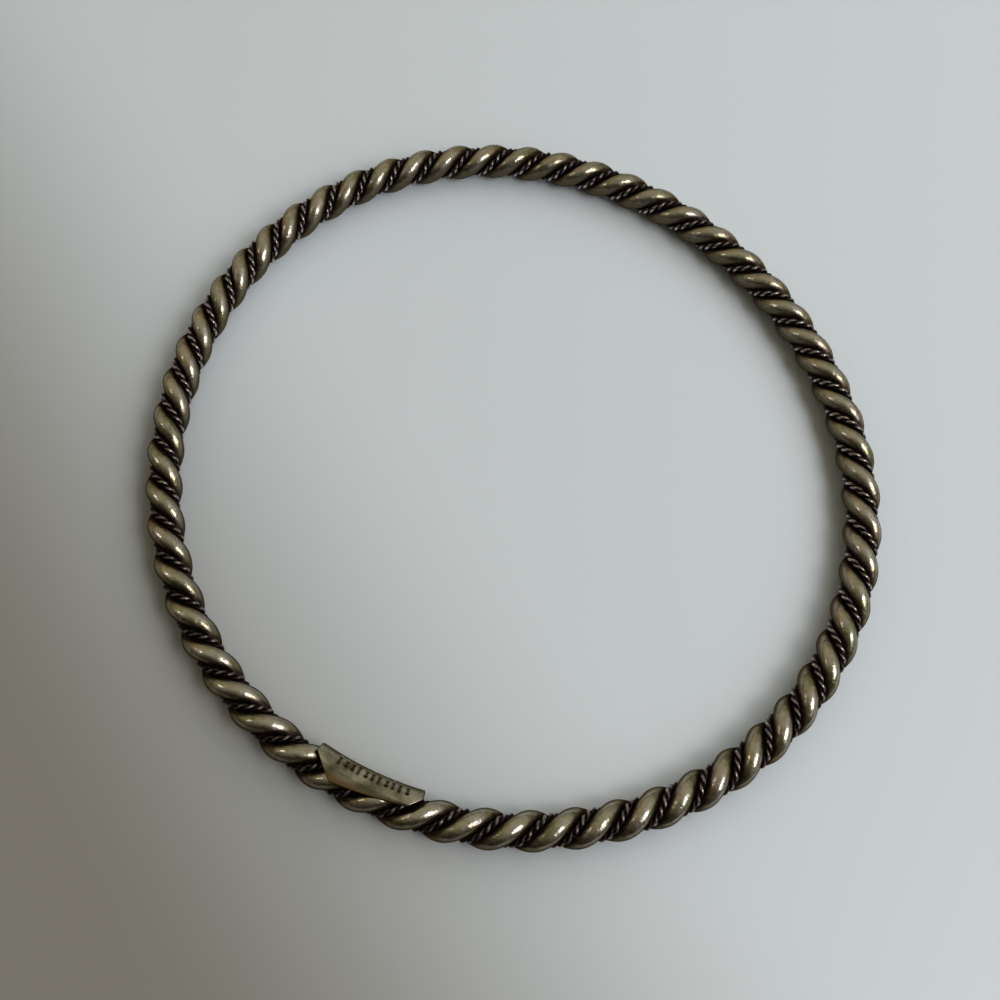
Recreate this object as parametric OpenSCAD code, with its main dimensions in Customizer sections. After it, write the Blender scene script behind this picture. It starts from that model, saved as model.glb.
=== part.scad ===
// A bangle of twisted silver wire. Two heavy round wires are twisted round each other into a
// closed hoop that rests on its side. In each of the two grooves between them lies a thin
// twisted pair of fine wires, here the plain tube that the pair fills. A small curved plate
// covers the join on the inner upper side of the band. Every strand closes on itself.

/* [Hoop] */
// Radius from the middle of the hoop to the middle of the twisted band
hoop_r = 33.6; // [32:0.2:38]
// How far the hoop is bent out of round, at the ends of its long way across
oval = 0.64; // [0:0.02:0.8]
// Direction of the long way across, in degrees
oval_dir = 139; // [0:1:179]
// How far three soft corners of the hoop stand out
corner_rise = 0.3; // [0:0.02:0.4]
// Direction of the first soft corner, in degrees
corner_dir = 0; // [-60:1:60]

/* [Heavy wires] */
// Diameter of each heavy wire
heavy_d = 1.72; // [1.5:0.02:1.9]
// Gap left between the two heavy wires at the middle of the band
heavy_gap = 0.06; // [0.04:0.01:0.12]
// Full turns of the twist round the hoop
twist_turns = 28; // [26:1:30]
// Angle of the first heavy wire round the band at the start of the hoop
twist_start = -68; // [-180:1:180]

/* [Unevenness of the hand-made twist] */
// How far the twist runs ahead and behind of an even one, once round the hoop, in degrees
drift_once = 40; // [0:1:60]
// Direction in which it is furthest ahead, in degrees
drift_once_dir = 178; // [0:1:359]
// How far it runs ahead and behind twice round the hoop, in degrees
drift_twice = 28; // [0:1:40]
// Direction in which that is furthest ahead, in degrees
drift_twice_dir = 14; // [0:1:179]
// How far it runs ahead and behind three times round the hoop, in degrees
drift_thrice = 6; // [0:1:20]
// Direction in which that is furthest ahead, in degrees
drift_thrice_dir = 118; // [0:1:119]

/* [Fine pairs] */
// Diameter of the round space that one twisted pair of fine wires fills
pair_d = 0.66; // [0.56:0.01:0.76]
// Clearance between a fine pair and the heavy wires beside it
pair_gap = 0.05; // [0.04:0.01:0.1]

/* [Join plate] */
// Thickness of the plate
plate_t = 0.32; // [0.26:0.02:0.6]
// Thickness left at the plate's filed upper edge
plate_edge_t = 0.14; // [0.1:0.02:0.24]
// Clearance between the plate and the crests of the heavy wires
plate_gap = 0.05; // [0.04:0.01:0.12]
// Direction of the middle of the plate from the middle of the hoop, in degrees
plate_dir = -92.3; // [-180:0.1:180]
// Length of the plate along its lower edge
plate_l = 10; // [8:0.1:16]
// Angle of the plate's lower edge round the band, where 180 faces the wrist and 90 is the top
plate_low = 192; // [180:1:210]
// Angle above which the two ends of the plate are cut back
cut_from = 125; // [116:1:150]
// How much the plate's first end is cut back at its upper edge
first_end_cut = 2.3; // [0:0.1:2.6]
// How much the plate's second end is cut back at its upper edge
second_end_cut = 1.1; // [0:0.1:2.6]
// Angle of the ridge between the plate's face and its filed slope, at the first end
ridge_first = 109; // [98:1:114]
// Angle of the ridge at the second end
ridge_second = 101; // [99:1:114]
// Angle of the plate's upper edge at its first end
top_first = 71; // [60:1:92]
// Angle of the plate's upper edge at its second end
top_second = 97; // [60:1:98]

/* [Hidden] */

// Rings along each strand for one turn of the twist, and sides of each ring
rings_a_turn = 10;
heavy_sides = 8;
pair_sides = 6;
// Steps of the plate along its length, round its face and down its filed slope
plate_steps = 8;
face_steps = 5;
slope_steps = 2;

silver = [0.60, 0.57, 0.46];
fine_silver = [0.42, 0.38, 0.36];

// How often the search for a fine pair's seat halves its range
seat_halvings = 10;

rings = rings_a_turn * twist_turns;
// The middle of each heavy wire winds at this radius, and its crests touch this radius
heavy_off = (heavy_d + heavy_gap) / 2;
band_r = heavy_off + heavy_d / 2;
// Degrees in one radian
radian = 180 / PI;

// Radius of the hoop at an angle, with its long way across and its three soft corners
function hoop_radius(a) =
    hoop_r + oval * cos(2 * (a - oval_dir)) + corner_rise * cos(3 * (a - corner_dir));
hoop_x = [for (a = [0:3:357]) hoop_radius(a) * cos(a)];
hoop_y = [for (a = [0:3:357]) hoop_radius(a) * sin(a)];
hoop_middle = [(max(hoop_x) + min(hoop_x)) / 2, (max(hoop_y) + min(hoop_y)) / 2];

// A point at a distance from the middle of the band: turn 0 is outwards and 90 is up
function band_point(a, off, turn) =
    [(hoop_radius(a) + off * cos(turn)) * cos(a) - hoop_middle[0],
     (hoop_radius(a) + off * cos(turn)) * sin(a) - hoop_middle[1],
     band_r + off * sin(turn)];

// How far the twist has turned at an angle of the hoop; the twist is left-handed
function twist(a) =
    twist_turns * a + drift_once * cos(a - drift_once_dir)
    + drift_twice * cos(2 * (a - drift_twice_dir)) + drift_thrice * cos(3 * (a - drift_thrice_dir));

// Distance from a point in the groove to the middle of the nearer heavy wire. The heavy wires
// lie a quarter turn to either side, and each comes nearest within a quarter turn of the twist.
function groove_room(a, off, start) =
    let (point = band_point(a, off, twist(a) + start))
    min([for (side = [-1, 1]) for (u = [0:6:90])
         let (b = a - side * u / twist_turns)
         norm(band_point(b, heavy_off, twist(b) + start + 90 * side) - point)]);
// The least distance from the band's middle at which a fine pair clears both heavy wires,
// found by halving the range a few times
pair_room = heavy_d / 2 + pair_d / 2 + pair_gap;
function seat(a, start, low, high, halvings) =
    let (middle = (low + high) / 2)
    halvings <= 0 ? high
    : groove_room(a, middle, start) < pair_room ? seat(a, start, middle, high, halvings - 1)
    : seat(a, start, low, middle, halvings - 1);

function unit(v) = v / norm(v);

// The rings of points of a round strand, where off(a) is its distance from the band's middle.
// Each ring is turned back by a share of the twist, so its sides run along the strand.
function strand_points(off, r, start, sides, share) =
    [for (k = [0:rings - 1])
        let (a = 360 * k / rings,
             half = 90 / rings,
             here = off(a),
             middle = band_point(a, here, twist(a) + start),
             along = unit(band_point(a + half, here, twist(a + half) + start)
                          - band_point(a - half, here, twist(a - half) + start)),
             side = unit(cross(along, middle - band_point(a, 0, 0))),
             out = cross(side, along))
        for (i = [0:sides - 1])
            let (f = 360 * i / sides + share * twist(a))
            middle + r * (cos(f) * out + sin(f) * side)];

// A closed strand: the last ring meets the first, shifted by the sides it has turned past
module strand(off, r, start, sides) {
    slope = atan(off(0) * twist_turns / hoop_r);
    shift = round(twist_turns * cos(slope) * sides);
    share = shift / (twist_turns * sides);
    function corner(k, i) =
        k < rings ? k * sides + i % sides : (i + shift) % sides;
    faces = [for (k = [0:rings - 1]) for (i = [0:sides - 1]) each
             [[corner(k, i), corner(k + 1, i + 1), corner(k, i + 1)],
              [corner(k, i), corner(k + 1, i), corner(k + 1, i + 1)]]];
    polyhedron(strand_points(off, r, start, sides, share), faces);
}

module heavy_wire(start) {
    color(silver) strand(function (a) heavy_off, heavy_d / 2, start, heavy_sides);
}

module fine_pair(start) {
    color(fine_silver)
        strand(function (a) seat(a, start, heavy_d / 4, heavy_d, seat_halvings),
               pair_d / 2, start, pair_sides);
}

module heavy_wire_a() { heavy_wire(twist_start); }
module heavy_wire_b() { heavy_wire(twist_start + 180); }
module fine_pair_a() { fine_pair(twist_start + 90); }
module fine_pair_b() { fine_pair(twist_start + 270); }

// The plate lies on the crests of the heavy wires, with its face at the outer radius
plate_under = band_r + plate_gap;
plate_outer = plate_under + plate_t;
plate_rim = plate_under + plate_edge_t;

// Angles of the plate's upper edge and of its ridge at a share of its length
function plate_top(along) = top_first + (top_second - top_first) * along;
function plate_ridge(along) = ridge_first + (ridge_second - ridge_first) * along;

// Angles round the band from the plate's lower edge over its ridge to its upper edge
function plate_turns(along) =
    let (ridge = plate_ridge(along))
    concat([for (s = [0:face_steps]) plate_low + (ridge - plate_low) * s / face_steps],
           [for (s = [1:slope_steps]) ridge + (plate_top(along) - ridge) * s / slope_steps]);

// Radius of the plate's outer side: round over the face, then a straight slope to the rim
function plate_radius(turn, along) =
    let (ridge = plate_ridge(along), top = plate_top(along))
    turn >= ridge ? plate_outer
    : plate_outer * plate_rim * sin(ridge - top)
      / (plate_outer * sin(ridge - turn) + plate_rim * sin(turn - top));

// Each end is square up the face, and is then cut back more and more towards the upper edge
function plate_angle(along, turn) =
    let (up_first = max(0, cut_from - turn) / (cut_from - top_first),
         up_second = max(0, cut_from - turn) / (cut_from - top_second),
         first = -plate_l / 2 + first_end_cut * up_first,
         second = plate_l / 2 - second_end_cut * up_second)
    plate_dir + (first + (second - first) * along) / (hoop_r - band_r) * radian;

// Each section holds the points of the underside, then those of the outer side, back again
module join_plate() {
    count = face_steps + slope_steps + 1;
    points = [for (k = [0:plate_steps])
        let (along = k / plate_steps, turns = plate_turns(along)) each
        concat([for (t = turns) band_point(plate_angle(along, t), plate_under, t)],
               [for (i = [count - 1:-1:0])
                   let (t = turns[i])
                   band_point(plate_angle(along, t), plate_radius(t, along), t)])];
    function corner(k, i) = k * 2 * count + i % (2 * count);
    sides = [for (k = [0:plate_steps - 1]) for (i = [0:2 * count - 1]) each
             [[corner(k, i), corner(k + 1, i + 1), corner(k + 1, i)],
              [corner(k, i), corner(k, i + 1), corner(k + 1, i + 1)]]];
    ends = [for (i = [0:count - 2])
            let (back = 2 * count - 1 - i) each
            [[corner(0, i), corner(0, back), corner(0, back - 1)],
             [corner(0, i), corner(0, back - 1), corner(0, i + 1)],
             [corner(plate_steps, i), corner(plate_steps, back - 1), corner(plate_steps, back)],
             [corner(plate_steps, i), corner(plate_steps, i + 1), corner(plate_steps, back - 1)]]];
    color(silver) polyhedron(points, concat(sides, ends));
}

heavy_wire_a();
heavy_wire_b();
fine_pair_a();
fine_pair_b();
join_plate();
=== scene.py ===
# A twisted wire bangle of old silver, lying on its side on a pale table. Two heavy round wires
# are twisted round each other into a closed hoop, a thin twisted pair of fine wires lies in
# each groove between them, and a small curved plate covers the join. Lengths are in metres.
import math

import bmesh
import bpy
import numpy as np
from mathutils import Matrix, Vector


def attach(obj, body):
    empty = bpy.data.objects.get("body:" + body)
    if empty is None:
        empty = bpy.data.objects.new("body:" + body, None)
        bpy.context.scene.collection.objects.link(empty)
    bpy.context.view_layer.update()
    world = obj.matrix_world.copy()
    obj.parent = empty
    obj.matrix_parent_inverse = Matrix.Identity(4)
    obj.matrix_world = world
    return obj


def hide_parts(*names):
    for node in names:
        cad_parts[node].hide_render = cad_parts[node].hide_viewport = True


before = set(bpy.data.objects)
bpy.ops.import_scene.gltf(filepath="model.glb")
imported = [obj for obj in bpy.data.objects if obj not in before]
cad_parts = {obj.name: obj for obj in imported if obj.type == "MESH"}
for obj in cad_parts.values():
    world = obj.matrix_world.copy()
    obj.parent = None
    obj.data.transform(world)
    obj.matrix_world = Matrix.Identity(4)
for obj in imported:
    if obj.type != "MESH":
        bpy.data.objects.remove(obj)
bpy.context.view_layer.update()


# The heavy wires. Two round silver wires, twisted round each other left-handed and bent into
# a hoop that isn't quite round. The twist was made by hand, so it runs a little ahead in some
# places and behind in others. Each wire closes on itself, where the real one is soldered.
HOOP_RADIUS = 33.6e-3
OVAL = 0.64e-3
OVAL_DIRECTION = math.radians(139)
CORNER_RISE = 0.3e-3
CORNER_DIRECTION = 0
HEAVY_THICKNESS = 1.72e-3
HEAVY_GAP = 0.06e-3
TWIST_TURNS = 28
TWIST_START = math.radians(-68)
DRIFTS_IN_DEGREES = ((40, 178), (28, 14), (6, 118))
HEAVY_OFFSET = (HEAVY_THICKNESS + HEAVY_GAP) / 2
BAND_RADIUS = HEAVY_OFFSET + HEAVY_THICKNESS / 2
HEAVY_RINGS_PER_TURN = 36
HEAVY_SIDES = 28


def hoop_radius(angle):
    """Radius of the hoop's middle line, with its long way across and its three soft corners."""
    oval = OVAL * np.cos(2 * (angle - OVAL_DIRECTION))
    return HOOP_RADIUS + oval + CORNER_RISE * np.cos(3 * (angle - CORNER_DIRECTION))


def hoop_middle():
    """The middle of the hoop's own box, which lies at the origin."""
    angle = np.linspace(0, 2 * math.pi, 120, endpoint=False)
    across = hoop_radius(angle) * np.cos(angle)
    deep = hoop_radius(angle) * np.sin(angle)
    return (across.max() + across.min()) / 2, (deep.max() + deep.min()) / 2


MIDDLE_X, MIDDLE_Y = hoop_middle()


def band_point(angle, offset, turn):
    """Points at an offset from the band's middle line: turn 0 is outwards, a quarter turn is up."""
    radius = hoop_radius(angle) + offset * np.cos(turn)
    height = BAND_RADIUS + offset * np.sin(turn) + 0 * angle
    return np.stack([radius * np.cos(angle) - MIDDLE_X, radius * np.sin(angle) - MIDDLE_Y, height], -1)


def twist(angle):
    """How far the wires have turned round the band at an angle of the hoop. Each drift is how
    far they run ahead in its direction, and it comes back once, twice or three times."""
    turned = TWIST_TURNS * angle
    for times, (drift, direction) in enumerate(DRIFTS_IN_DEGREES, 1):
        swing = np.cos(times * (angle - math.radians(direction)))
        turned = turned + math.radians(drift) * swing
    return turned


def band_depth(points):
    """Distance of points from the band's middle line."""
    x = points[:, 0] + MIDDLE_X
    y = points[:, 1] + MIDDLE_Y
    outwards = np.hypot(x, y) - hoop_radius(np.arctan2(y, x))
    return np.hypot(outwards, points[:, 2] - BAND_RADIUS)


def drawn_wire(name, path, thickness, sides):
    """A closed round wire along a path. Each of its points also holds what the finish needs:
    how far it stands out of the twist, and its place along and round the wire as two circles,
    so that a pattern on them has no seam."""
    curve = bpy.data.curves.new(name, "CURVE")
    curve.dimensions = "3D"
    curve.bevel_depth = thickness / 2
    curve.bevel_resolution = sides // 2 - 2
    spline = curve.splines.new("POLY")
    spline.points.add(len(path) - 1)
    spline.points.foreach_set("co", np.column_stack([path, np.ones(len(path))]).ravel())
    spline.use_cyclic_u = True
    tube = bpy.data.objects.new(name + "_path", curve)
    bpy.context.scene.collection.objects.link(tube)
    bpy.context.view_layer.update()
    mesh = bpy.data.meshes.new_from_object(tube.evaluated_get(bpy.context.evaluated_depsgraph_get()))
    bpy.data.objects.remove(tube)
    bpy.data.curves.remove(curve)
    mesh.name = name
    mesh.shade_smooth()

    corners = np.empty(len(mesh.vertices) * 3)
    mesh.vertices.foreach_get("co", corners)
    corners = corners.reshape(-1, 3)
    standing_out = mesh.attributes.new("standing_out", "FLOAT", "POINT")
    standing_out.data.foreach_set("value", band_depth(corners) / BAND_RADIUS)
    ring, side = np.divmod(np.arange(len(corners)), len(corners) // len(path))
    along = 2 * math.pi * ring / len(path)
    around = 2 * math.pi * side * len(path) / len(corners)
    circles = np.column_stack([np.cos(along), np.sin(along), np.cos(around), np.sin(around)])
    grain = mesh.attributes.new("grain", "FLOAT_COLOR", "POINT")
    grain.data.foreach_set("color", circles.ravel())
    piece = bpy.data.objects.new(name, mesh)
    bpy.context.scene.collection.objects.link(piece)
    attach(piece, "root")
    return piece


def add_node(tree, kind, inputs, **options):
    """A node with its options set, and each named input set to a value or linked to a socket."""
    node = tree.nodes.new(kind)
    for option, choice in options.items():
        setattr(node, option, choice)
    for name, value in inputs.items():
        if isinstance(value, bpy.types.NodeSocket):
            tree.links.new(value, node.inputs[name])
        else:
            node.inputs[name].default_value = value
    return node


def start_metal(name):
    """A new metal material: its node tree, its shader and the place on the piece."""
    metal = bpy.data.materials.new(name)
    metal.use_nodes = True
    tree = metal.node_tree
    shader = tree.nodes["Principled BSDF"]
    shader.inputs["Metallic"].default_value = 1
    place = add_node(tree, "ShaderNodeTexCoord", {}).outputs["Object"]
    return metal, tree, shader, place


def stored(tree, name):
    """The outputs of a value or colour that the points of a piece hold."""
    return add_node(tree, "ShaderNodeAttribute", {}, attribute_name=name).outputs


def cloud(tree, place, scale, detail):
    """A noise between 0 and 1, with this many features to a metre."""
    wants = {"Vector": place, "Scale": scale, "Detail": detail}
    return add_node(tree, "ShaderNodeTexNoise", wants).outputs["Fac"]


def ease(tree, value, start, end, low=0.0, high=1.0):
    """A value that eases from low at the start to high at the end."""
    wants = {"Value": value, "From Min": start, "From Max": end, "To Min": low, "To Max": high}
    return add_node(tree, "ShaderNodeMapRange", wants, interpolation_type="SMOOTHSTEP").outputs[0]


def add_up(tree, first, second, share):
    """The first value plus a share of the second."""
    wants = {0: second, 1: share, 2: first}
    return add_node(tree, "ShaderNodeMath", wants, operation="MULTIPLY_ADD").outputs[0]


def blend(tree, share, first, second):
    """A colour between two colours."""
    wants = {0: share, 6: first, 7: second}
    return add_node(tree, "ShaderNodeMix", wants, data_type="RGBA").outputs[2]


def colour_steps(tree, value, steps):
    """A colour that runs through the given steps of (place, colour) as the value goes up."""
    ramp = add_node(tree, "ShaderNodeValToRGB", {"Fac": value})
    for index, (place, colour) in enumerate(steps):
        if index < 2:
            stop = ramp.color_ramp.elements[index]
            stop.position = place
        else:
            stop = ramp.color_ramp.elements.new(place)
        stop.color = colour
    return ramp.outputs["Color"]


def dent(tree, shader, heights, strength, depth):
    """Make the surface look dented by the heights, where a height of 1 is this deep."""
    wants = {"Strength": strength, "Distance": depth, "Height": heights}
    tree.links.new(add_node(tree, "ShaderNodeBump", wants).outputs["Normal"], shader.inputs["Normal"])


def unshaded_upper_sides(tree, specks):
    """0 on the sides of the band, where it is least rubbed and where shade is painted on, and 1 on its
    upper side.
    """
    facing = add_node(tree, "ShaderNodeTexCoord", {}).outputs["Normal"]
    upwards = add_node(tree, "ShaderNodeSeparateXYZ", {"Vector": facing}).outputs["Z"]
    return ease(tree, add_up(tree, upwards, specks, 0.2), 0.40, 0.95)


# The colour of the band's sides: tarnish, and painted shade where they face down, away from the light
SIDE_TARNISH_AND_SHADE = (0.15, 0.123, 0.08, 1)
OLIVE_TARNISH = (0.25, 0.25, 0.13, 1)
KHAKI_TARNISH = (0.44, 0.41, 0.31, 1)
OCHRE_TARNISH = (0.41, 0.33, 0.20, 1)
ROSE_TARNISH = (0.49, 0.42, 0.37, 1)
BARE_SILVER = (0.74, 0.72, 0.69, 1)
RIM_TINT = (0.30, 0.26, 0.19, 1)
BROWN_PATINA = (0.05, 0.033, 0.024, 1)
PATCHES_PER_METRE = 420
SPECKS_PER_METRE = 1900
DENTS_PER_METRE = 1200
DENT_DEPTH = 0.08e-3
STREAKS_PER_RADIUS = 7
# How far out, in shares of the band's radius, the brown is rubbed off, and then the tarnish
RUBBED_FROM, RUBBED_TO = 0.87, 1.05
BARE_FROM, BARE_TO = 1.04, 1.14
BARE_SHARE = 0.6
GROOVE_ROUGHNESS = 0.62
RUBBED_ROUGHNESS = 0.46
SMOOTHER_ON_TOP = 0.30


def aged_silver():
    """Rubbed bright where the wires stand out, tarnished in soft patches, darkened on the sides by
    tarnish and by painted shade, and brown in the grooves."""
    metal, tree, shader, place = start_metal("aged_silver")
    shader.inputs["Specular Tint"].default_value = RIM_TINT
    patches = cloud(tree, place, PATCHES_PER_METRE, 3)
    specks = cloud(tree, place, SPECKS_PER_METRE, 4)
    grain = stored(tree, "grain")
    wants = {"Vector": grain["Vector"], "W": grain["Alpha"], "Scale": STREAKS_PER_RADIUS, "Detail": 3}
    streaks = add_node(tree, "ShaderNodeTexNoise", wants, noise_dimensions="4D").outputs["Fac"]
    standing_out = stored(tree, "standing_out")["Fac"]

    tarnish = colour_steps(tree, patches, (
        (0.36, OLIVE_TARNISH), (0.45, KHAKI_TARNISH), (0.51, OCHRE_TARNISH), (0.57, ROSE_TARNISH),
        (0.66, KHAKI_TARNISH)))
    uneven = add_up(tree, add_up(tree, standing_out, specks, 0.12), streaks, 0.10)
    rubbed = ease(tree, uneven, RUBBED_FROM, RUBBED_TO)
    crest = ease(tree, uneven, BARE_FROM, BARE_TO, 0.0, BARE_SHARE)
    unshaded_upper = unshaded_upper_sides(tree, specks)
    # The sides take a darker colour, partly tarnish and partly painted shade
    silver = blend(tree, unshaded_upper, SIDE_TARNISH_AND_SHADE, blend(tree, crest, tarnish, BARE_SILVER))
    tree.links.new(blend(tree, rubbed, BROWN_PATINA, silver), shader.inputs["Base Color"])

    dull = ease(tree, rubbed, 0.0, 1.0, GROOVE_ROUGHNESS, RUBBED_ROUGHNESS)
    dull = add_up(tree, dull, unshaded_upper, -SMOOTHER_ON_TOP)
    tree.links.new(add_up(tree, dull, specks, 0.12), shader.inputs["Roughness"])
    dents = add_up(tree, cloud(tree, place, DENTS_PER_METRE, 2), streaks, 0.15)
    dent(tree, shader, dents, 1.0, DENT_DEPTH)
    return metal


aged_silver_finish = aged_silver()
heavy_angles = np.linspace(0, 2 * math.pi, TWIST_TURNS * HEAVY_RINGS_PER_TURN, endpoint=False)
for letter, start in (("a", TWIST_START), ("b", TWIST_START + math.pi)):
    heavy_path = band_point(heavy_angles, HEAVY_OFFSET, twist(heavy_angles) + start)
    heavy_wire = drawn_wire(
        f"heavy_wire_{letter}_round", heavy_path, HEAVY_THICKNESS, HEAVY_SIDES)
    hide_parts("heavy_wire_" + letter)
    heavy_wire.data.materials.append(aged_silver_finish)


# The fine pairs. In each of the two grooves lies a strand of two thin silver wires, twisted
# tightly round each other, also left-handed, and pressed down between the heavy wires.
FINE_THICKNESS = 0.34e-3
FINE_TURNS = 158
FINE_STEPS_PER_TURN = 12
FINE_SIDES = 10
PAIR_CLEARANCE = 0.01e-3
SEAT_HALVINGS = 14


def pair_seat(angle, start):
    """The least distance from the band's middle at which a pair clears both heavy wires."""
    low = np.full(len(angle), HEAVY_THICKNESS / 4)
    high = np.full(len(angle), HEAVY_THICKNESS)
    room = HEAVY_THICKNESS / 2 + FINE_THICKNESS + PAIR_CLEARANCE
    for _ in range(SEAT_HALVINGS):
        middle = (low + high) / 2
        point = band_point(angle, middle, twist(angle) + start)
        nearest = np.full(len(angle), np.inf)
        for side in (-1, 1):
            for back in np.linspace(0, math.pi / 2, 31):
                beside = angle - side * back / TWIST_TURNS
                heavy = band_point(beside, HEAVY_OFFSET, twist(beside) + start + side * math.pi / 2)
                nearest = np.minimum(nearest, np.linalg.norm(heavy - point, axis=1))
        tight = nearest < room
        low = np.where(tight, middle, low)
        high = np.where(tight, high, middle)
    return high


def fine_path(start, phase):
    """One fine wire, wound round the middle of its pair, which itself winds round the band."""
    angle = np.linspace(0, 2 * math.pi, FINE_TURNS * FINE_STEPS_PER_TURN, endpoint=False)
    middle = band_point(angle, pair_seat(angle, start), twist(angle) + start)
    ahead = np.roll(middle, -1, 0) - np.roll(middle, 1, 0)
    ahead /= np.linalg.norm(ahead, axis=1)[:, None]
    outwards = middle - band_point(angle, 0, 0)
    outwards -= ahead * (outwards * ahead).sum(1)[:, None]
    outwards /= np.linalg.norm(outwards, axis=1)[:, None]
    aside = np.cross(ahead, outwards)
    length = np.cumsum(np.linalg.norm(np.roll(middle, -1, 0) - middle, axis=1))
    turn = phase - 2 * math.pi * FINE_TURNS * (length - length[0]) / length[-1]
    winding = np.cos(turn)[:, None] * outwards + np.sin(turn)[:, None] * aside
    return middle + FINE_THICKNESS / 2 * winding


RUBBED_FINE = (0.50, 0.44, 0.43, 1)
BLACK_PATINA = (0.030, 0.020, 0.018, 1)
FINE_SPECKS_PER_METRE = 2600
FINE_RUBBED_FROM, FINE_RUBBED_TO = 0.84, 0.97
BLACKENED_ROUGHNESS = 0.5
FINE_ROUGHNESS = 0.2


def dark_silver():
    """Blackened wire, rubbed to a rosy grey where it stands out of its groove."""
    metal, tree, shader, place = start_metal("dark_silver")
    specks = cloud(tree, place, FINE_SPECKS_PER_METRE, 3)
    uneven = add_up(tree, stored(tree, "standing_out")["Fac"], specks, 0.16)
    rubbed = ease(tree, uneven, FINE_RUBBED_FROM, FINE_RUBBED_TO)
    tree.links.new(blend(tree, rubbed, BLACK_PATINA, RUBBED_FINE), shader.inputs["Base Color"])
    dull = ease(tree, rubbed, 0.0, 1.0, BLACKENED_ROUGHNESS, FINE_ROUGHNESS)
    tree.links.new(dull, shader.inputs["Roughness"])
    return metal


dark_silver_finish = dark_silver()
for letter, start in (("a", TWIST_START + math.pi / 2), ("b", TWIST_START + 3 * math.pi / 2)):
    for number, phase in ((1, 0), (2, math.pi)):
        fine_wire = drawn_wire(
            f"fine_wire_{letter}{number}", fine_path(start, phase), FINE_THICKNESS, FINE_SIDES)
        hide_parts("fine_pair_" + letter)
        fine_wire.data.materials.append(dark_silver_finish)


# The join plate. A small strip of silver sheet with a row of punched marks, bent round the
# inner upper side of the band over the place where the wires meet, and soldered to their
# crests. Its upper edge is filed to a slope, broad at one end and thin at the other.
PLATE_THICKNESS = 0.32e-3
PLATE_EDGE_THICKNESS = 0.14e-3
PLATE_CLEARANCE = 0.05e-3
PLATE_DIRECTION = math.radians(-92.3)
PLATE_LENGTH = 10e-3
PLATE_LOW = math.radians(192)
ENDS_CUT_FROM = math.radians(125)
FIRST_END_CUT = 2.3e-3
SECOND_END_CUT = 1.1e-3
RIDGE_FIRST = math.radians(109)
RIDGE_SECOND = math.radians(101)
TOP_FIRST = math.radians(71)
TOP_SECOND = math.radians(97)
PLATE_COLUMNS = 216
PLATE_ROWS = 90
FACE_SHARE = 0.8
EDGE_ROUNDING = 0.12e-3
EDGE_SUNK_AT_MOST = 0.6
MARKS = 11
MARK_PITCH = 0.63e-3
STROKE_HEIGHT = 1.25e-3
STROKE_WIDTH = 0.34e-3
STROKE_SHARE = 0.6
DOT_SHARE = 0.8
DOT_WIDTH = 0.48e-3
DOT_BELOW = 0.34e-3
UNEVEN_STEP = 2.2
UNEVEN_PITCH = 0.08
UNEVEN_HEIGHT = 0.12
UNEVEN_DOT = 0.2
MARK_DEPTH = 0.12e-3
MARK_ROW_TURN = math.radians(138)
MARK_ROW_MIDDLE = 0.35e-3

plate_under = BAND_RADIUS + PLATE_CLEARANCE
plate_outer = plate_under + PLATE_THICKNESS
plate_rim = plate_under + PLATE_EDGE_THICKNESS
plate_inner_radius = HOOP_RADIUS - BAND_RADIUS


def plate_place(along, up):
    """The turn round the band, the place along the hoop and the outer radius of the plate, at
    a share of its length and at a share of the way from its lower to its upper edge."""
    ridge = RIDGE_FIRST + (RIDGE_SECOND - RIDGE_FIRST) * along
    top = TOP_FIRST + (TOP_SECOND - TOP_FIRST) * along
    if up <= FACE_SHARE:
        turn = PLATE_LOW + (ridge - PLATE_LOW) * up / FACE_SHARE
        outer = plate_outer
    else:
        turn = ridge + (top - ridge) * (up - FACE_SHARE) / (1 - FACE_SHARE)
        outer = plate_outer * plate_rim * math.sin(ridge - top) / (
            plate_outer * math.sin(ridge - turn) + plate_rim * math.sin(turn - top))
    cut = max(0, ENDS_CUT_FROM - turn)
    first = -PLATE_LENGTH / 2 + FIRST_END_CUT * cut / (ENDS_CUT_FROM - TOP_FIRST)
    second = PLATE_LENGTH / 2 - SECOND_END_CUT * cut / (ENDS_CUT_FROM - TOP_SECOND)
    return turn, first, second, top, outer


def mark_depth(place, turn):
    """How deep the punched marks are: a row of upright strokes, each with a round dot near its
    foot, struck a little unevenly by hand."""
    beside = (place - MARK_ROW_MIDDLE) / MARK_PITCH + (MARKS - 1) / 2
    mark = min(max(round(beside), 0), MARKS - 1)
    uneven = math.cos(UNEVEN_STEP * mark)
    across = (beside - mark + UNEVEN_PITCH * uneven) * MARK_PITCH
    upright = (turn - MARK_ROW_TURN) * plate_outer
    straight = STROKE_HEIGHT * (1 + UNEVEN_HEIGHT * uneven) - STROKE_WIDTH
    past_end = max(0, abs(upright) - straight / 2)
    stroke = 1 - (math.hypot(across, past_end) / STROKE_WIDTH * 2) ** 2
    dot = 1 - (math.hypot(across, upright + DOT_BELOW) / DOT_WIDTH * 2) ** 2
    return max(0, STROKE_SHARE * stroke, (DOT_SHARE - UNEVEN_DOT * uneven) * dot)


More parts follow.
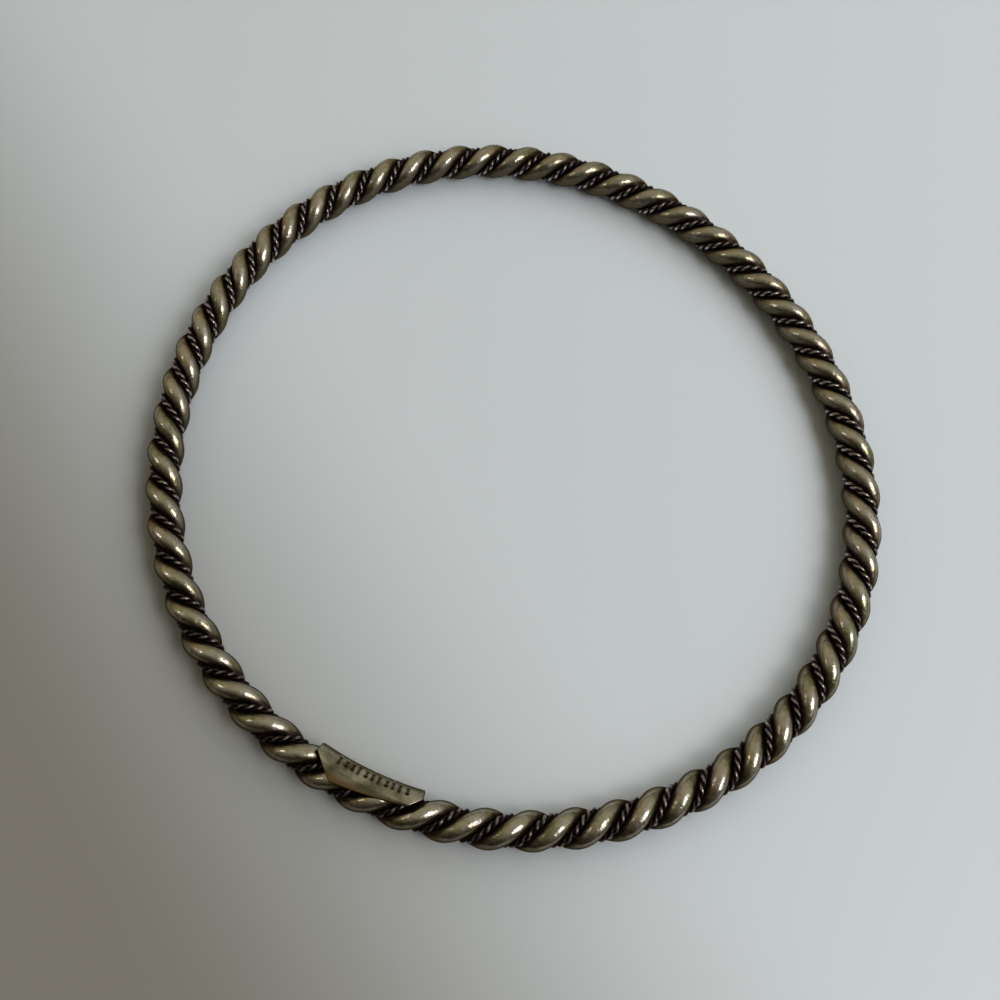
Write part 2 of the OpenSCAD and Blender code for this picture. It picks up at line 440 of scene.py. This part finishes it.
plate_sheet = bmesh.new()
bmesh.ops.create_grid(plate_sheet, x_segments=PLATE_COLUMNS, y_segments=PLATE_ROWS, size=0.5)
bmesh.ops.translate(plate_sheet, vec=(0.5, 0.5, 0), verts=plate_sheet.verts)
bmesh.ops.solidify(plate_sheet, geom=plate_sheet.faces[:], thickness=1)
punched = plate_sheet.verts.layers.float.new("punched")
at_edge = plate_sheet.verts.layers.float.new("at_edge")
filed = plate_sheet.verts.layers.float.new("filed")
for corner in plate_sheet.verts:
    turn, first, second, top, outer = plate_place(corner.co.x, corner.co.y)
    place = first + (second - first) * corner.co.x
    to_ends = min(place - first, second - place)
    to_edges = min(PLATE_LOW - turn, turn - top) * plate_outer
    inside = max(0, EDGE_ROUNDING - min(to_ends, to_edges))
    sunk = EDGE_ROUNDING - math.sqrt(max(0, EDGE_ROUNDING ** 2 - inside ** 2))
    mark = mark_depth(place, turn)
    corner[punched] = mark
    corner[at_edge] = inside / EDGE_ROUNDING
    corner[filed] = max(0, (corner.co.y - FACE_SHARE) / (1 - FACE_SHARE))
    # The side that solidify added becomes the underside, and the first one the outer side
    radius = plate_under
    if abs(corner.co.z) < 0.5:
        sunk = min(sunk, (outer - plate_under) * EDGE_SUNK_AT_MOST)
        radius = outer - sunk - MARK_DEPTH * math.sqrt(mark)
    angle = PLATE_DIRECTION + place / plate_inner_radius
    corner.co = Vector(band_point(np.array(angle), radius, np.array(turn)))
bmesh.ops.recalc_face_normals(plate_sheet, faces=plate_sheet.faces)
plate_mesh = bpy.data.meshes.new("join_plate_punched")
plate_sheet.to_mesh(plate_mesh)
plate_sheet.free()
plate_mesh.shade_smooth()
join_plate = bpy.data.objects.new("join_plate_punched", plate_mesh)
bpy.context.scene.collection.objects.link(join_plate)
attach(join_plate, "root")
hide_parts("join_plate")

PLATE_KHAKI = (0.40, 0.375, 0.29, 1)
PLATE_OLIVE_AND_SHADE = (0.19, 0.18, 0.12, 1)
PLATE_BRIGHT = (0.66, 0.62, 0.52, 1)
FILED_BROWN = (0.28, 0.20, 0.10, 1)
PLATE_PATCHES_PER_METRE = 520
PLATE_SPECKS_PER_METRE = 2600
GRIT_PER_METRE = 1500
GRIT_DEPTH = 0.04e-3
SATIN_FROM, SATIN_TO = 0.28, 0.42


def plate_silver():
    """Satin sheet with a fine grit, brown on its filed slope, olive on its down-facing sides as
    tarnish and painted shade, and dark in the punched marks and along its edges, where the dark
    edges are dirt and a painted shade of the gap beneath them."""
    metal, tree, shader, place = start_metal("plate_silver")
    shader.inputs["Specular Tint"].default_value = RIM_TINT
    patches = cloud(tree, place, PLATE_PATCHES_PER_METRE, 3)
    specks = cloud(tree, place, PLATE_SPECKS_PER_METRE, 3)
    marks = stored(tree, "punched")["Fac"]
    edge = stored(tree, "at_edge")["Fac"]
    slope = stored(tree, "filed")["Fac"]
    face = colour_steps(tree, patches, (
        (0.38, PLATE_OLIVE_AND_SHADE), (0.50, PLATE_KHAKI), (0.64, PLATE_BRIGHT)))
    browned = ease(tree, add_up(tree, slope, patches, 0.4), 0.3, 1.0)
    face = blend(tree, browned, face, FILED_BROWN)
    # The down-facing sides are painted a darker olive: partly tarnish, partly painted shade
    face = blend(tree, unshaded_upper_sides(tree, specks), PLATE_OLIVE_AND_SHADE, face)
    dirty = ease(tree, add_up(tree, marks, specks, 0.4), 0.15, 0.95)
    face = blend(tree, dirty, face, BROWN_PATINA)
    # The edges are painted dark brown: partly dirt, partly a painted shade of the gap under the plate
    edge_dirt_and_shade = ease(tree, add_up(tree, edge, specks, 0.3), 0.4, 0.8)
    tree.links.new(blend(tree, edge_dirt_and_shade, face, BROWN_PATINA), shader.inputs["Base Color"])
    satin = ease(tree, specks, 0.2, 0.8, SATIN_FROM, SATIN_TO)
    tree.links.new(satin, shader.inputs["Roughness"])
    dent(tree, shader, cloud(tree, place, GRIT_PER_METRE, 3), 0.8, GRIT_DEPTH)
    return metal


plate_mesh.materials.append(plate_silver())


# The table. A plain pale sheet with a slight gloss, on which the bangle lies on its side. Its
# colour is painted darker towards the near left, a painted shade where it gets less of the window.
FLOOR_WIDTH = 1.2
FLOOR_COLOUR = (0.59, 0.62, 0.655, 1)
SHADED_FLOOR = (0.215, 0.20, 0.178, 1)
FLOOR_ROUGHNESS = 0.4
SHADE_DIRECTION = math.radians(57)
SHADE_FROM = -0.053
SHADE_TO = -0.004
floor_sheet = bmesh.new()
bmesh.ops.create_grid(floor_sheet, x_segments=1, y_segments=1, size=FLOOR_WIDTH / 2)
floor_mesh = bpy.data.meshes.new("pale_floor")
floor_sheet.to_mesh(floor_mesh)
floor_sheet.free()
floor = bpy.data.objects.new("pale_floor", floor_mesh)
bpy.context.scene.collection.objects.link(floor)


def pale_floor():
    """A pale sheet whose colour eases from a painted shade on the near left to the lit side."""
    pale = bpy.data.materials.new("pale_floor")
    pale.use_nodes = True
    tree = pale.node_tree
    shader = tree.nodes["Principled BSDF"]
    place = add_node(tree, "ShaderNodeTexCoord", {}).outputs["Object"]
    to_lit_side = (math.cos(SHADE_DIRECTION), math.sin(SHADE_DIRECTION), 0)
    across = add_node(
        tree, "ShaderNodeVectorMath", {0: place, 1: to_lit_side}, operation="DOT_PRODUCT")
    lit = ease(tree, across.outputs["Value"], SHADE_FROM, SHADE_TO)
    tree.links.new(blend(tree, lit, SHADED_FLOOR, FLOOR_COLOUR), shader.inputs["Base Color"])
    shader.inputs["Roughness"].default_value = FLOOR_ROUGHNESS
    return pale


floor_mesh.materials.append(pale_floor())


# The studio. A soft window light stands high to the right in a weak broad glow, and a small weak
# lamp stands to the left. A broad light that the metal doesn't mirror lights the table. The room
# is a warm grey, darker near the ground and where the viewer stands.
LIGHT_DISTANCE = 0.6
COOL_WHITE = (0.9, 0.95, 1)
LEFT_WALL = (0.35, 0.31, 0.20, 1)
RIGHT_WALL = (0.33, 0.32, 0.245, 1)
VIEWER_SIDE = (0.03, 0.027, 0.018, 1)


def soft_light(name, direction, height, width, depth, strength, colour=(1, 1, 1)):
    """A rectangular light that looks at the bangle from a direction and height in degrees."""
    lamp = bpy.data.lights.new(name, "AREA")
    lamp.shape = "RECTANGLE"
    lamp.size = width
    lamp.size_y = depth
    lamp.energy = strength
    lamp.color = colour
    light = bpy.data.objects.new(name, lamp)
    light.visible_camera = False
    aside, up = math.radians(direction), math.radians(height)
    away = Vector((math.cos(aside) * math.cos(up), math.sin(aside) * math.cos(up), math.sin(up)))
    turned = away.to_track_quat("Z", "Y").to_matrix().to_4x4()
    light.matrix_world = Matrix.Translation(away * LIGHT_DISTANCE) @ turned
    bpy.context.scene.collection.objects.link(light)
    return light


soft_light("window_light", direction=-6, height=50, width=0.26, depth=0.24, strength=0.95)
soft_light("window_glow", direction=15, height=45, width=0.80, depth=0.50, strength=0.17)
soft_light("side_light", direction=190, height=41, width=0.04, depth=0.04, strength=0.08)
table_light = soft_light(
    "table_light", direction=38, height=47, width=2.40, depth=0.45, strength=6.2, colour=COOL_WHITE)
table_light.visible_glossy = False

room = bpy.data.worlds.new("pale_room")
room.use_nodes = True
bpy.context.scene.world = room
sky = room.node_tree
looking = add_node(sky, "ShaderNodeTexCoord", {}).outputs["Generated"]
towards = add_node(sky, "ShaderNodeSeparateXYZ", {"Vector": looking})
away_from_viewer = ease(sky, towards.outputs["Y"], -1.0, 0.3)
to_the_right = ease(sky, towards.outputs["X"], -0.8, 0.5)
wall_colour = blend(sky, to_the_right, LEFT_WALL, RIGHT_WALL)
room_colour = blend(sky, away_from_viewer, VIEWER_SIDE, wall_colour)
sky.links.new(room_colour, sky.nodes["Background"].inputs["Color"])
upwards = ease(sky, towards.outputs["Z"], -0.05, 0.45, 0.4, 1.0)
sky.links.new(upwards, sky.nodes["Background"].inputs["Strength"])


# The camera, held over the near side of the bangle and rolled a little. Its lens is shifted, as
# its picture is the lower right part of a wider view.
CAMERA_PLACE = Vector((5.660e-3, -40.799e-3, 109.812e-3))
LOOKS_AT = Vector((-9.009e-3, -0.242e-3, 0))
CAMERA_ROLL = math.radians(1.94)
view = bpy.data.cameras.new("camera")
view.lens = 43.2
view.sensor_width = 36
view.shift_x = 0.075
view.shift_y = -0.06
view.clip_start = 0.005
camera = bpy.data.objects.new("camera", view)
level = (LOOKS_AT - CAMERA_PLACE).to_track_quat("-Z", "Y").to_matrix()
turned = (level @ Matrix.Rotation(CAMERA_ROLL, 3, "Z")).to_4x4()
camera.matrix_world = Matrix.Translation(CAMERA_PLACE) @ turned
bpy.context.scene.collection.objects.link(camera)
bpy.context.scene.camera = camera
bpy.context.scene.view_settings.view_transform = "Standard"
